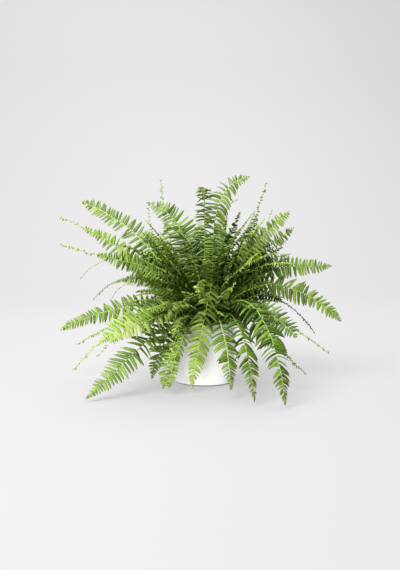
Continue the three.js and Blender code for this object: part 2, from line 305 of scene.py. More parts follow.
camera = {"lens": 53.7, "sensor": 36, "place": (-0.0113, -2.0993, 0.4424), "down": 5.52}  # degrees down
stage = {
    "halfWidth": 9.0, "front": 9.0,        # how far the floor runs to each side and forwards
    "back": 1.6, "bend": 1.2, "top": 3.6,  # where it bends up, at what radius, and how high it goes
    "colour": (0.12, 0.119, 0.121),
    "floorShade": 0.71,                    # the floor gets more light, so it is painted darker
    "floorEnds": (-0.3, 2.4),              # where its paint turns into the backdrop's
    "paintedGlow": 0.34,                          # painted light: the stage glows, which keeps shadows on it faint
}
lights = {
    "window": {"place": (-1.4, -1.5, 2.7), "aim": (0, 0, 0.22), "size": 2.2, "power": 184,
               "colour": (1.0, 0.99, 0.965)},
    "front": {"place": (-0.9, -3.0, 0.8), "aim": (0, 0, 0.12), "size": 1.6, "power": 50,
              "colour": (1.0, 1.0, 1.0)},
    "behind": {"place": (0.2, 1.2, 2.5), "aim": (0, 0, 0.22), "size": 1.8, "power": 56,
               "colour": (1.0, 1.0, 0.98)},
    "wall": {"place": (-0.3, 0.9, 3.2), "aim": (-0.2, 2.7, 1.2), "size": 1.8, "power": 34,
             "colour": (1.0, 0.99, 1.0)},
}
sky = {"colour": (0.97, 0.97, 1.0), "strength": 0.26}


# the camera looks along Y, tipped down from level
def makeCamera():
    data = bpy.data.cameras.new("camera")
    data.lens, data.sensor_width, data.sensor_fit = camera["lens"], camera["sensor"], "AUTO"
    data.clip_start, data.clip_end = 0.05, 50
    made = bpy.data.objects.new("camera", data)
    made.location = camera["place"]
    made.rotation_euler = (math.radians(90 - camera["down"]), 0, 0)
    scene.collection.objects.link(made)
    scene.camera = made


# a floor that bends up into a backdrop: a straight run, a quarter circle and a straight rise
def makeStage():
    back, bend = stage["back"], stage["bend"]
    line = np.concatenate([
        [[-stage["front"], 0], [back - 0.01, 0]],
        arc((back, bend), bend, -90, 0, 24),
        [[back + bend, stage["top"]]],
    ])
    width = np.array([-stage["halfWidth"], stage["halfWidth"]])
    grid = np.stack([width + 0 * line[:, :1], line[:, :1] + 0 * width, line[:, 1:] + 0 * width], -1)
    row = np.arange(len(line) - 1)[:, None] * 2
    quads = row + np.array([[0, 1, 3, 2]])
    finish = Finish("stage")
    backdrop = finish.coordinate(1).step(*stage["floorEnds"])
    material = finish.done(finish.principled({
        "Base Color": finish.mix(backdrop, scaled(stage["colour"], stage["floorShade"]), stage["colour"]),
        "Roughness": 0.75,
        # painted light: the whole floor and backdrop glow a little, which lifts the shadows on them
        "Emission Color": (1.0, 0.99, 1.0),
        "Emission Strength": stage["paintedGlow"],
    }))
    makePiece("stage", (grid.reshape(-1, 3), quads, np.zeros((0, 3), int)), material)


# Round lamps under an even sky. A lamp shines down its own -Z: it is tipped by the angle between
# straight down and its aim, and then turned round Z until it faces it.
def makeLights():
    for name, light in lights.items():
        data = bpy.data.lights.new(name, "AREA")
        data.shape, data.size = "DISK", light["size"]
        data.energy, data.color = light["power"], light["colour"]
        made = bpy.data.objects.new(name, data)
        made.location = light["place"]
        x, y, z = np.array(light["aim"]) - light["place"]
        made.rotation_euler = (math.atan2(math.hypot(x, y), -z), 0, math.atan2(y, x) - math.pi / 2)
        scene.collection.objects.link(made)
    world = bpy.data.worlds.new("sky")
    world.use_nodes = True
    background = world.node_tree.nodes["Background"]
    background.inputs["Color"].default_value = (*sky["colour"], 1)
    background.inputs["Strength"].default_value = sky["strength"]
    scene.world = world


makeCamera()
makeStage()
makeLights()
print("camera, stage and lights made")


# Finds the stations of a frond in its CAD strip. The strip is rings of four corners, two on the
# edges and two on the faces, from a flat foot to a pointed tip. Only the foot's two face corners
# touch just three others, and from there each ring is reached from the one before.
def readStrip(node):
    corners, same = np.unique(np.round(cornersOf(node), 6), axis=0, return_inverse=True)
    mesh = cadNodes[node].data
    mesh.calc_loop_triangles()
    triangles = np.zeros(len(mesh.loop_triangles) * 3, int)
    mesh.loop_triangles.foreach_get("vertices", triangles)
    triangles = same.ravel()[triangles].reshape(-1, 3)
    touches = np.zeros((len(corners), len(corners)), bool)
    touches[triangles, np.roll(triangles, 1, axis=1)] = True
    touches |= touches.T
    upper, lower = np.flatnonzero(touches.sum(1) == 3)
    left, right = np.flatnonzero(touches[upper] & touches[lower])
    ring, rings, used = [left, upper, right, lower], [], set()
    while True:
        rings.append(ring)
        used.update(ring)
        after = [set(np.flatnonzero(touches[corner])) - used for corner in ring]
        if len(set.union(*after)) == 1:
            return corners[np.array(rings)], corners[after[0].pop()]
        (newUpper,), (newLower,) = after[1], after[3]
        (newLeft,) = after[0] - {newUpper, newLower}
        (newRight,) = after[2] - {newUpper, newLower}
        ring = [newLeft, newUpper, newRight, newLower]


# A smooth line through points: Catmull-Rom, each stretch a cubic through its two ends whose slope
# at an end is half the step between that end's neighbours. Then evenly spaced along its length.
def smoothLine(values, samples):
    padded = np.concatenate([2 * values[:1] - values[1:2], values, 2 * values[-1:] - values[-2:-1]])
    t = np.linspace(0, len(values) - 1.000001, samples * 3)  # just short of the last point
    stretch = t.astype(int)
    f = (t - stretch)[:, None]
    before, start, end, after = (padded[stretch + k] for k in range(4))
    fine = 0.5 * (2 * start + (end - before) * f + (2 * before - 5 * start + 4 * end - after) * f ** 2
                  + (3 * start - before - 3 * end + after) * f ** 3)
    steps = np.linalg.norm(np.diff(fine[:, :3], axis=0), axis=1)
    length = np.concatenate([[0], np.cumsum(steps)])
    even = np.linspace(0, length[-1], samples)
    return np.stack([np.interp(even, length, column) for column in fine.T], -1), length[-1]


frondLook = {
    "firstSeed": 100,
    "samples": 160,
    "wander": (1.3 * mm, 90 * mm),        # how far the stalk sways from its strip, and over what length
    "steady": 60 * mm,                    # it starts to sway over this much of its foot
    "stalkSides": 7,
    "stalkRadius": (1.7 * mm, 1.19 * mm, 0.6 * mm),  # at the foot, at 0.3 of the way and at the tip
    "bareShare": 0.06,                    # the foot of the stalk carries no leaflets
    "waist": 32,                          # samples to each side that a narrow place is closed over
    "fill": 30 * mm,                      # how far leaflets may fill a narrow place of the strip
    "footFill": 0.6,                      # the more, the less the filled foot narrows downwards
    "fullerEnds": (0.5, 0.85),            # fuller up to the first part of the frond, not past the next
    "smoothing": 13,                      # samples that the reach is smoothed over
    "fadeIn": 14,                         # how fast it starts above the bare foot
    "tipReach": 1.6 * mm,                 # what the leaflets reach at the very tip
    "gap": (3.2 * mm, 0.245),             # leaflet spacing: this plus this much of the leaflet's length
    "uneven": 0.07,                       # and how far it varies
    "missing": 0.015,
    "margin": 14 * mm,                    # leaflets stay this near the box of their CAD strip
}

# the thin end of some fronds, with tiny leaflets far apart
whipLook = {
    "strip": 3.9 * mm,                    # a strip less than this to each side is a whip
    "reach": 5.0 * mm, "uneven": 0.35, "length": (0.5, 1.3), "plump": 1.25,
    "spacing": 7.4 * mm, "scatter": 0.9, "missing": 0.22,
}

# How a leaflet is grown; pairs are a size and how much that varies, or two ends of a range.
leafLook = {
    "length": (0.90, 1.06),               # times the frond's reach
    "tries": 8, "shorter": 0.8,           # one outside its room is shortened this often, by this factor
    "forward": (6, 10, 26),               # degrees it leans to the frond's tip: foot, near tip, tip
    "stray": 6,                           # and to either side of that
    "faceLight": 0.45,                    # how far it turns its face to the sky
    "twist": 0.32,                        # and to any side, at random
    "droop": 0.30, "droopRange": (0.7, 1.3),
    "curve": (0.09, 0.06),                # how far it bends towards the frond's tip
    "plump": (1.8 * mm, 0.295),           # its width: this plus this much of its length
    "apart": 0.84,                        # its width to its spacing, at most
    "thickness": 0.30 * mm,
    "fold": 0.07,                         # how far the edges drop below the midrib, to half the width
    "ripple": (0.08, 19),                 # how far the edges wave, to half the width, and how fast
    "teeth": 0.05,
    "ear": (0.35, 0.07),                  # how much wider the ear is, and how far from the foot
    "point": 0.78,                        # below 1 it keeps its width longer before the point
}

# A leaflet's shell has corners in rows along it. Round each row's section they have a place
# across, a height in thicknesses and a share of the underside.
leafRows = np.array([0.0, 0.08, 0.27, 0.48, 0.68, 0.85, 0.97])
leafAcross = np.array([-1.0, -0.82, 0.0, 0.82, 1.0, 0.0])
leafHeight = np.array([0.0, 0.5, 0.5, 0.5, 0.0, -0.6])
leafUnder = np.array([0.5, 0.0, 0.0, 0.0, 0.5, 1.0])

# What each frond draws for itself, and what it has unless its own mood says otherwise. Turn is how
# far, in degrees, its blade rolls about its stalk; fuller is how much further than the strip its
# leaflets reach near the foot, and wider is the same everywhere; taper is how fast they grow from
# the tip; blunt is the power that rounds their points; tone is how light the frond is, and where a
# mood sets it, it is partly painted light and shade on the whole frond; and pale is where along it
# a run of faded leaflets starts. The others multiply what leafLook says.
moodRanges = {"droop": (0.6, 1.3), "fold": (0.6, 1.4), "tone": (0, 1), "plump": (0.94, 1.08),
              "faceLight": (0.7, 1.2), "blunt": (2.6, 3.8)}
plainMood = {"turn": 0, "taper": 0.46, "fuller": 1.4, "wider": 1.05, "spacing": 1.0, "pale": 0, "twist": 1}
frondMoods = {
    "frond_01": {"taper": 0.55, "droop": 0.05, "fuller": 1.1, "wider": 1.25, "tone": -0.8, "spacing": 0.92},
    "frond_02": {"turn": -32, "wider": 1.7, "spacing": 0.9},
    "frond_03": {"turn": -30, "fuller": 1.2, "wider": 1.8, "spacing": 0.9},
    "frond_04": {"turn": -35, "wider": 1.4, "spacing": 0.85},
    "frond_05": {"turn": -20, "wider": 1.3, "spacing": 0.85, "tone": 1.2},
    "frond_06": {"turn": -20, "wider": 1.3, "spacing": 0.9, "tone": 0.2},
    "frond_07": {"turn": -28, "wider": 1.3},
    "frond_08": {"turn": -30, "droop": 0.5, "fuller": 1.3, "wider": 1.6, "spacing": 0.85, "tone": 0.7},
    "frond_09": {"turn": -25, "droop": 0.6, "wider": 1.5, "spacing": 0.9, "pale": 0.6},
    "frond_10": {"droop": 0.5, "taper": 0.36, "wider": 1.1, "spacing": 0.92, "tone": 1.5},
    "frond_11": {"turn": -30, "droop": 0.7, "wider": 1.5, "tone": 1.3},
    "frond_12": {"turn": -20, "droop": 0.8, "fuller": 1.2, "wider": 2.3, "spacing": 0.9, "twist": 1.5},
    "frond_13": {"turn": -15, "droop": 0.8, "fuller": 1.2, "wider": 1.5, "spacing": 0.9, "twist": 1.5},
    "frond_14": {"turn": -20, "droop": 1.3, "taper": 0.34, "fuller": 1.7, "wider": 1.3, "spacing": 0.88,
                 "tone": 0.9, "twist": 1.4},
    "frond_15": {"droop": 1.2, "taper": 0.34, "wider": 1.4, "spacing": 0.85, "tone": -0.9, "twist": 1.4},
    "frond_16": {"droop": 1.8, "taper": 0.30, "wider": 1.25, "spacing": 0.98, "tone": 0.6, "twist": 1.9},
    "frond_17": {"turn": 15, "droop": 1.5, "taper": 0.36, "wider": 1.25, "spacing": 0.9, "tone": -0.5,
                 "twist": 1.9},
    "frond_18": {"turn": 20, "droop": 0.5, "taper": 0.7, "wider": 1.5, "spacing": 0.85, "tone": -0.8},
    "frond_19": {"turn": 25, "droop": 0.6, "taper": 0.5, "wider": 1.8, "spacing": 0.85, "tone": 0.1},
    "frond_20": {"turn": 28, "wider": 1.6, "spacing": 0.85},
    "frond_21": {"turn": 20, "wider": 1.6},
    "frond_22": {"wider": 1.2, "spacing": 0.9, "tone": 0.5},
    "frond_23": {"droop": 0.4, "wider": 1.2, "spacing": 0.9, "tone": 0.9},
    "frond_24": {"fuller": 1.6, "wider": 1.3, "spacing": 0.8, "tone": -0.2, "twist": 1.4},
    "frond_25": {"turn": 20, "droop": 1.2, "fuller": 1.5, "wider": 1.3, "spacing": 0.8, "tone": 0.1,
                 "twist": 1.4},
    "frond_26": {"fuller": 1.7, "wider": 1.4, "spacing": 0.8, "tone": -0.6, "twist": 1.4},
    "frond_27": {"droop": 2.0, "fuller": 1.8, "wider": 1.1, "spacing": 0.8, "plump": 0.75, "tone": -1.1,
                 "twist": 1.5},
    "frond_28": {"turn": 20, "droop": 2.4, "fuller": 1.5, "wider": 1.9, "spacing": 0.8, "plump": 0.7,
                 "tone": -1.0, "twist": 1.4},
    "frond_29": {"taper": 0.8, "fuller": 1.6, "wider": 1.35, "spacing": 0.8, "tone": 0.1, "twist": 2.4},
    "frond_30": {"turn": -15, "fuller": 1.7, "wider": 1.5, "spacing": 0.8, "tone": -0.5, "twist": 1.4},
    "frond_31": {"turn": -25, "droop": 0.1, "fuller": 1.3, "wider": 1.9, "spacing": 0.8, "tone": -0.5,
                 "twist": 1.3},
    "frond_32": {"fuller": 1.7, "wider": 1.5, "spacing": 0.8, "tone": -0.5, "twist": 1.4},
}


# The course of a frond as arrays along its length: points, directions, sides, faces and half
# widths. The line through the middles of the strip's rings sways a little, and the blade is
# rolled about it.
def readCourse(node, turn, random):
    rings, tip = readStrip(node)
    middles = np.concatenate([rings.mean(axis=1), tip[None]])
    reach = rings[:, 2] - rings[:, 0]
    half = np.concatenate([np.linalg.norm(reach, axis=1) / 2, [0.0]])
    sides = unit(np.concatenate([reach, reach[-1:]]))
    stations = np.concatenate([middles, sides, half[:, None]], 1)
    packed, length = smoothLine(stations, frondLook["samples"])
    points, sides, half = packed[:, :3], packed[:, 3:6], np.maximum(packed[:, 6], 0)
    fromFoot = np.linspace(0, length, len(points))[:, None]
    ease = np.minimum(1, fromFoot[:, 0] / frondLook["steady"])
    far, waveLength = frondLook["wander"]
    for axis in range(3):
        points[:, axis] += far * ease * lumps(fromFoot, waveLength, 2, random)
    along = unit(np.gradient(points, axis=0))
    sides = squareTo(sides, along)
    faces = np.cross(along, sides)
    if faces[:, 2].sum() < 0:  # the face that looks up is the upper one
        sides, faces = -sides, -faces
    turn = math.radians(turn)
    sides, faces = (math.cos(turn) * sides + math.sin(turn) * faces,
                    math.cos(turn) * faces - math.sin(turn) * sides)
    return {"points": points, "along": along, "sides": sides, "faces": faces, "half": half, "length": length}


# the widest or narrowest of each value's neighbours, up to some steps to both sides
def spreadOf(values, steps, choose):
    padded = np.pad(values, steps, mode="edge")
    return choose(np.lib.stride_tricks.sliding_window_view(padded, 2 * steps + 1), axis=1)


# Leaflet reach along the frond: the strip's half width with its waists closed (the widest near
# each place, then the narrowest of those) and its foot filled in step with what lies further out,
# never by more than the fill. It rises from the tip on a straight slope. A whip keeps tiny
# leaflets, and the second result says where one is.
def leafReach(course, looks, random):
    half, waist = course["half"], frondLook["waist"]
    share = np.linspace(0, 1, len(half))
    closed = spreadOf(spreadOf(half, waist, np.max), waist, np.min)
    slope = frondLook["footFill"] + share
    outer = np.maximum.accumulate((half / slope)[::-1])[::-1] * slope
    fuller = np.interp(share, frondLook["fullerEnds"], [looks["fuller"], 1]) * looks["wider"]
    filled = np.minimum(np.maximum(closed, outer) * fuller, half + frondLook["fill"])
    kernel = np.hanning(frondLook["smoothing"])
    padded = np.pad(np.maximum(filled, half), frondLook["smoothing"] // 2, mode="edge")
    reach = np.convolve(padded, kernel / kernel.sum(), mode="valid")
    reach = reach * np.clip((share - frondLook["bareShare"]) * frondLook["fadeIn"], 0, 1)
    fromTip = (1 - share) * course["length"]
    whip = (spreadOf(half, 3, np.max) < whipLook["strip"]) & (share > 0.3) & (fromTip > 4 * mm)
    uneven = 1 + whipLook["uneven"] * lumps(fromTip[:, None], 30 * mm, 2, random)
    reach = np.where(whip, whipLook["reach"] * uneven, reach)
    return np.minimum(reach, frondLook["tipReach"] + fromTip * looks["taper"]), whip


# what a leaflet of some length needs along the stalk
def leafSpacing(length, looks):
    return (frondLook["gap"][0] + frondLook["gap"][1] * length) * looks["spacing"]


# Places of the leaflets on one side: as many as the length holds at a spacing that grows with
# the leaflet, found by running up the sum of 1 / spacing.
def leafPlaces(course, shift, looks, random):
    reach = course["reach"]
    stretch = course["length"] / (len(reach) - 1)
    spacing = np.where(course["whip"], whipLook["spacing"], leafSpacing(reach, looks))
    running = np.cumsum(np.where(reach > 1 * mm, stretch / spacing, 0))
    wanted = np.arange(int(running[-1])) + shift
    wanted = wanted + random.normal(0, frondLook["uneven"], len(wanted))
    places = np.interp(wanted, running, np.arange(len(reach)))
    onWhip = course["whip"][places.astype(int)]
    keep = random.random(len(places)) > np.where(onWhip, whipLook["missing"], frondLook["missing"])
    places = places + np.where(onWhip, random.normal(0, whipLook["scatter"], len(places)), 0)
    return np.clip(places, 0, len(reach) - 1.001)[keep]


# values at places between samples: each in proportion to how near its two samples are
def sample(values, places):
    low = np.clip(places.astype(int), 0, len(values) - 2)
    part = (places - low)[:, None] if values.ndim > 1 else places - low
    return values[low] * (1 - part) + values[low + 1] * part


# where the stalk is, its direction, side and face at some places
def stalkAt(course, places):
    return (sample(course[key], places) for key in ("points", "along", "sides", "faces"))


# the box that any leaflet stays in
plantRoom = np.array(cadLow) + [-8 * mm, -8 * mm, 1 * mm], np.array(cadHigh) + 8 * mm


# the box for a frond's own leaflets: its CAD strip's with a margin, no larger than the plant's
def roomOf(node):
    low, high = (np.array(corner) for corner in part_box(node))
    low, high = low - frondLook["margin"], high + frondLook["margin"]
    return np.maximum(low, plantRoom[0]), np.minimum(high, plantRoom[1])


leafAttributes = ("leaflet", "frond")
kinds = {"leaf": 0.0, "scale": 0.5, "stalk": 1.0}


# closed shells whose corners carry those two attributes of four channels each
def leafShells(rings, along=0.0, across=0.0, tone=0.0, under=0.0,
               share=0.0, kind="leaf", chance=0.0, frondToneAndPaintedShade=0.0):
    return shellsWith(rings, along, across, tone, under, share, kinds[kind], chance, frondToneAndPaintedShade)


# Middle lines of leaflets. Each leaves the stalk sideways, a little forward, and sags with the
# square of the distance, across its own heading only, so an upright one stays straight:
# foot + length * (u * heading + u squared * sag). With them come the directions across and out of
# the leaf at each row. One that would leave the room is made shorter.
def leafLines(course, places, side, looks, room, random):
    count = len(places)
    foot, along, outward, face = stalkAt(course, places)
    onWhip = course["whip"][places.astype(int)]
    length = sample(course["reach"], places) * random.uniform(*leafLook["length"], count)
    length = length * np.where(onWhip, random.uniform(*whipLook["length"], count), 1)
    share = places / (len(course["reach"]) - 1)
    lean = np.interp(share, [0.1, 0.85, 1], leafLook["forward"])
    lean = np.radians(lean + random.normal(0, leafLook["stray"], count) * looks["twist"])[:, None]
    heading = np.cos(lean) * outward * side + np.sin(lean) * along
    twist = random.normal(0, leafLook["twist"] * looks["twist"], (count, 3))
    face = squareTo(face + leafLook["faceLight"] * looks["faceLight"] * up + twist, heading)
    sag = -(up - dot(heading, up) * heading) * leafLook["droop"] * looks["droop"]
    sag = sag * random.uniform(*leafLook["droopRange"], (count, 1))
    sag = sag + along * random.normal(*leafLook["curve"], (count, 1))

    stretch = 1 / np.sqrt(1 + 0.9 * dot(sag, sag))[:, 0]  # so that sagging makes none much longer
    for _ in range(leafLook["tries"]):
        tip = foot + (length * stretch)[:, None] * (heading + sag)
        outside = ((tip < room[0]) | (tip > room[1])).any(axis=1)
        length = np.where(outside, length * leafLook["shorter"], length)

    u = leafRows[None, :, None]
    path = u * heading[:, None] + u ** 2 * sag[:, None]
    middle = foot[:, None] + (length * stretch)[:, None, None] * path
    slope = unit(heading[:, None] + 2 * u * sag[:, None])
    normal = squareTo(face[:, None], slope)
    across = np.cross(normal, slope) * side  # towards the frond's tip on both sides
    return middle, across, normal, length, stretch


# Leaflets as closed shells. Across each middle line lies a lens-shaped section, folded along the
# midrib and rippled at its edges, whose width is that of a blunt lance: quick to its widest, level,
# and round to a point, with small teeth, and with an ear at the foot on the side towards the
# frond's tip.
def leaflets(course, places, side, looks, room, random):
    count = len(places)
    middle, across, normal, length, stretch = leafLines(course, places, side, looks, room, random)
    lance = np.minimum(1, 0.5 + 6 * leafRows) * (1 - leafRows ** looks["blunt"]) ** leafLook["point"]
    toothed = 1 + leafLook["teeth"] * (-1.0) ** np.arange(len(leafRows))
    width = (leafLook["plump"][0] + leafLook["plump"][1] * length) * looks["plump"]
    width = width * np.where(course["whip"][places.astype(int)], whipLook["plump"], 1)
    widest = leafLook["apart"] * leafSpacing(length, looks) * (0.55 + 0.45 * stretch)
    half = (np.minimum(width, widest) / 2)[:, None] * (lance * toothed)
    swell, far = leafLook["ear"]
    ear = 1 + swell * np.exp(-((leafRows - far) / far) ** 2)
    spread = leafAcross * np.where(leafAcross > 0, ear[:, None], 1.0)
    waves, speed = leafLook["ripple"]
    ripple = waves * np.sin(leafRows * speed)[:, None] * leafAcross ** 2 * random.normal(0, 1, (count, 1, 1))
    fold = leafLook["fold"] * looks["fold"] * 2 * np.abs(leafAcross)
    lift = half[:, :, None] * (ripple - fold) + leafLook["thickness"] * leafHeight
    rings = (middle[:, :, None] + (half[:, :, None] * spread)[..., None] * across[:, :, None]
             + lift[..., None] * normal[:, :, None])

    share = places / (len(course["reach"]) - 1)
    tone = random.random(count)
    faded = (share > looks["pale"]) & (share < looks["pale"] + 0.2) & (looks["pale"] > 0)
    chance = random.random(count) + 2 * faded  # above 2 marks a faded one
    order = slice(None, None, side)  # on the second side the corners run the other way round
    return leafShells(rings[:, :, order], along=leafRows[:, None], across=leafAcross[order] * 0.5 + 0.5,
                      tone=tone[:, None, None], under=leafUnder[order], share=share[:, None, None],
                      chance=chance[:, None, None], frondToneAndPaintedShade=looks["tone"])


# the stalk: a round section carried along every second point of the course, thinner to the tip
def stalk(course, looks):
    share = np.linspace(0, 1, len(course["points"]))[::2]
    radii = np.interp(share, [0, 0.3, 1], frondLook["stalkRadius"])
    rings = tube(course["points"][::2], radii, course["sides"][::2], frondLook["stalkSides"])
    return leafShells(rings, share=share[:, None], kind="stalk", frondToneAndPaintedShade=looks["tone"])


# a stalk with its two rows of leaflets, which take turns along it
def leafyStalk(course, looks, room, random):
    parts = [stalk(course, looks)]
    for side, shift in ((1, 0.25), (-1, 0.75)):
        places = leafPlaces(course, shift, looks, random)
        parts.append(leaflets(course, places, side, looks, room, random))
    return parts


# the young fronds that fill the middle of the plant, some with each CAD strip's piece
shootLook = {
    "perFrond": (3, 7),                   # from the first to one below the second
    "samples": 60,
    "tallShare": 0.3,
    "low": {"length": (80 * mm, 215 * mm), "rise": (38, 88), "fall": (15, 95),
            "bearing": (0, 360), "reach": (10 * mm, 18 * mm)},
    "tall": {"length": (190 * mm, 310 * mm), "rise": (64, 88), "fall": (10, 85),
             "bearing": (-50, 230), "reach": (15 * mm, 25 * mm)},
    "out": (0.1, 0.9),                    # where on the crown it starts, to the crown's radius
    "sunk": 3 * mm,                       # and how deep
    "stray": 0.5,                         # radians from the side that it leans to
    "sway": (-30, 30), "roll": 30,
    "fullLength": 120 * mm,               # a shorter one is narrower too
    "outline": ((0, 0.08, 0.1, 0.4, 0.8, 1), (0, 0, 0.5, 1, 0.8, 0.1)),  # reach along it
    "tone": (-0.9, 1.0),
    "looks": {"pale": 0, "spacing": 1.1, "twist": 2.3},
}


# A young frond of the crown's middle: it starts anywhere on the dome, more or less on the side
# it leans to, and its elevation falls evenly along it from a steep start.
def shootCourse(random):
    samples = shootLook["samples"]
    s = np.linspace(0, 1, samples)[:, None]
    crownLow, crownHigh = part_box("crown")
    kind = shootLook["tall" if random.random() < shootLook["tallShare"] else "low"]
    bearing = math.radians(random.uniform(*kind["bearing"]))
    start = bearing + random.normal(0, shootLook["stray"])
    out = random.uniform(*shootLook["out"])
    depth = shootLook["sunk"] + out ** 2 * 0.8 * (crownHigh.z - crownLow.z)
    foot = np.array([out * crownHigh.x * math.cos(start), out * crownHigh.x * math.sin(start),
                     crownHigh.z - depth])
    rise = random.uniform(*kind["rise"])
    fall = random.uniform(*kind["fall"])
    length = random.uniform(*kind["length"])
    elevation = np.radians(rise - fall * s)
    heading = bearing + np.radians(random.uniform(*shootLook["sway"])) * s
    along = np.concatenate([np.cos(elevation) * np.cos(heading), np.cos(elevation) * np.sin(heading),
                            np.sin(elevation)], 1)
    points = foot + np.cumsum(along, axis=0) * length / samples
    across = squareTo(np.cross(along, up), along)
    roll = math.radians(random.normal(0, shootLook["roll"]))
    sides = math.cos(roll) * across + math.sin(roll) * np.cross(across, along)
    widest = random.uniform(*kind["reach"]) * min(1, length / shootLook["fullLength"])
    return {"points": points, "along": along, "sides": sides, "faces": np.cross(along, sides),
            "reach": widest * np.interp(s[:, 0], *shootLook["outline"]), "length": length,
            "whip": np.zeros(samples, bool)}


# Brown scales are flat slivers. Their width is a sine that starts and ends at these parts of a
# half wave, flat is their thickness to their width, and bend is how far they curve outward.
scaleRows = np.array([0.0, 0.35, 0.75, 0.97])
scaleLook = {
    "stalk": {"count": 14, "upTo": (0.004, 0.16), "forward": (0.3, 1.6), "lift": 1.1 * mm,
              "length": (2.5 * mm, 5.5 * mm), "halfWidth": 0.45 * mm, "wave": (0.15, 0.98), "flat": 0.18,
              "bend": 0},
    "crown": {"count": 1500, "out": (0.2, 1.2), "up": (0.3, 1.3), "stray": 0.35,
              "length": (3 * mm, 8 * mm), "halfWidth": 0.6 * mm, "wave": (0.18, 0.98), "flat": 0.20,
              "bend": 0.35},
}


# Scales as closed shells: a middle line along the heading that curves outward with the square of
# the distance, and across it a section of four corners.
def slivers(look, foot, heading, across, outward, random, frondToneAndPaintedShade=0.0):
    length = random.uniform(*look["length"], len(foot))[:, None]
    path = scaleRows[:, None] * heading[:, None] + (scaleRows ** 2)[:, None] * look["bend"] * outward[:, None]
    middle = foot[:, None] + length[..., None] * path
    start, end = look["wave"]
    half = look["halfWidth"] * np.sin(np.pi * (start + (end - start) * scaleRows))
    section = np.array([[1, 0], [0, look["flat"]], [-1, 0], [0, -look["flat"]]])
    normal = np.cross(heading, across)
    offset = section[:, :1] * across[:, None] + section[:, 1:] * normal[:, None]
    rings = middle[:, :, None] + half[:, None, None] * offset[:, None]
    tone = random.random(len(foot))[:, None, None]
    return leafShells(rings, tone=tone, kind="scale", frondToneAndPaintedShade=frondToneAndPaintedShade)


# scales that stand out all round from the foot of the stalk, leaning up along it
def stalkScales(course, looks, random):
    look = scaleLook["stalk"]
    places = random.uniform(*look["upTo"], look["count"]) * (len(course["points"]) - 1)
    foot, along, sides, faces = stalkAt(course, places)
    angle = random.uniform(0, fullTurn, look["count"])[:, None]
    outward = np.cos(angle) * sides + np.sin(angle) * faces
    heading = unit(outward + along * random.uniform(*look["forward"], (look["count"], 1)))
    across = unit(np.cross(along, heading))
    return slivers(look, foot + outward * look["lift"], heading, across, outward, random, looks["tone"])


leafTones = {
    "young_leaf": {"dark": (0.045, 0.090, 0.010), "light": (0.365, 0.480, 0.112),
                   "through": (0.42, 0.56, 0.08), "throughShare": 0.32},
    "leaf": {"dark": (0.024, 0.055, 0.008), "light": (0.270, 0.378, 0.070),
             "through": (0.26, 0.38, 0.04), "throughShare": 0.26},
    "old_leaf": {"dark": (0.014, 0.034, 0.006), "light": (0.198, 0.292, 0.054),
                 "through": (0.16, 0.27, 0.03), "throughShare": 0.22},
}
leafFinish = {
    "mottle": 190, "patches": 34,         # noise scales: within a leaflet, and over several
    "veins": 13, "slant": 2.2,            # pairs of side veins, and how far they run forward
    # what makes a leaflet light: its own tone, the two noises, its frond, how far out it grows; the last two
    # are partly painted light and shade
    "weights": (0.55, 0.28, 0.28, 0.26, 0.50), "darker": 0.52,
    "bump": 0.35 * mm,
}
leafColours = {
    "underside": (0.34, 0.42, 0.20), "yellowed": (0.42, 0.33, 0.08), "faded": (0.40, 0.44, 0.18),
    "stalkFoot": (0.105, 0.048, 0.020), "scaleDark": (0.16, 0.065, 0.022), "scaleLight": (0.36, 0.19, 0.08),
}


# Leaf: two greens mixed by each leaflet's own tone, a fine mottle, broader patches, its frond's tone
# and how far out it grows: lighter at the young tips, and with painted shade towards the foot and on
# some whole fronds. A pale midrib, side veins that run forward from it, a paler underside and a
# yellowed point here and there. Stalks are green above and brown at the foot, and scales are rust brown.
def leafMaterial(slotName, tones):
    finish = Finish(slotName)
    along, across, tone, under = finish.channels("leaflet")
    # the frond's tone is partly painted light and shade, set on whole fronds
    share, kind, chance, frondToneAndPaintedShade = finish.channels("frond")
    dark, light = tones["dark"], tones["light"]
    isLeaf = 1 - kind.step(0.02, 0.3)
    isStalk = kind.step(0.7, 0.95)
    offMiddle = (across - 0.5).size() * 2
    midrib = (1 - offMiddle.step(0.04, 0.16)) * isLeaf
    veins = ((along * leafFinish["veins"] - offMiddle * leafFinish["slant"]) * fullTurn).wave()
    mottle = finish.noise(leafFinish["mottle"])
    patches = finish.noise(leafFinish["patches"], 2.0)
    makesLight = zip((tone, mottle, patches, frondToneAndPaintedShade, share), leafFinish["weights"])
    # painted light and shade: the frond's tone and how far out the leaflet grows lighten or darken it, darker
    # towards the foot
    lightness = sum(part * weight for part, weight in makesLight) - leafFinish["darker"]
    green = finish.mix(lightness, dark, light)
    green = finish.mix(veins * 0.16, green, dark)
    green = finish.mix(midrib * 0.45, green, scaled(light, 1.5))
    paler = tuple(0.55 * c + 0.45 * p for c, p in zip(light, leafColours["underside"]))
    green = finish.mix(under * 0.55, green, paler)
    yellowed = along.step(0.72, 1.0) * chance.step(0.78, 0.9)
    green = finish.mix(yellowed * 0.7, green, leafColours["yellowed"])
    green = finish.mix(chance.step(1.2, 1.8) * 0.7, green, leafColours["faded"])
    stalkColour = finish.mix(share.step(0.02, 0.34), leafColours["stalkFoot"], scaled(light, 0.8))
    rust = finish.mix(tone, leafColours["scaleDark"], leafColours["scaleLight"])
    height = veins * 0.35 * isLeaf - midrib * 0.9 + mottle * 0.5
    skin = finish.principled({
        "Base Color": finish.mix(isLeaf, finish.mix(isStalk, rust, stalkColour), green),
        "Roughness": 0.33 + mottle * 0.22 + under * 0.14,
        "Normal": finish.bump(height, leafFinish["bump"], 0.7),
        "IOR": 1.45,
        "Specular IOR Level": 0.4,
    })
    through = finish.node("ShaderNodeBsdfTranslucent", {}, {"Color": tones["through"]})
    factor = isLeaf * tones["throughShare"]
    return finish.done(finish.node("ShaderNodeMixShader", {}, {0: factor, 1: skin, 2: through}))


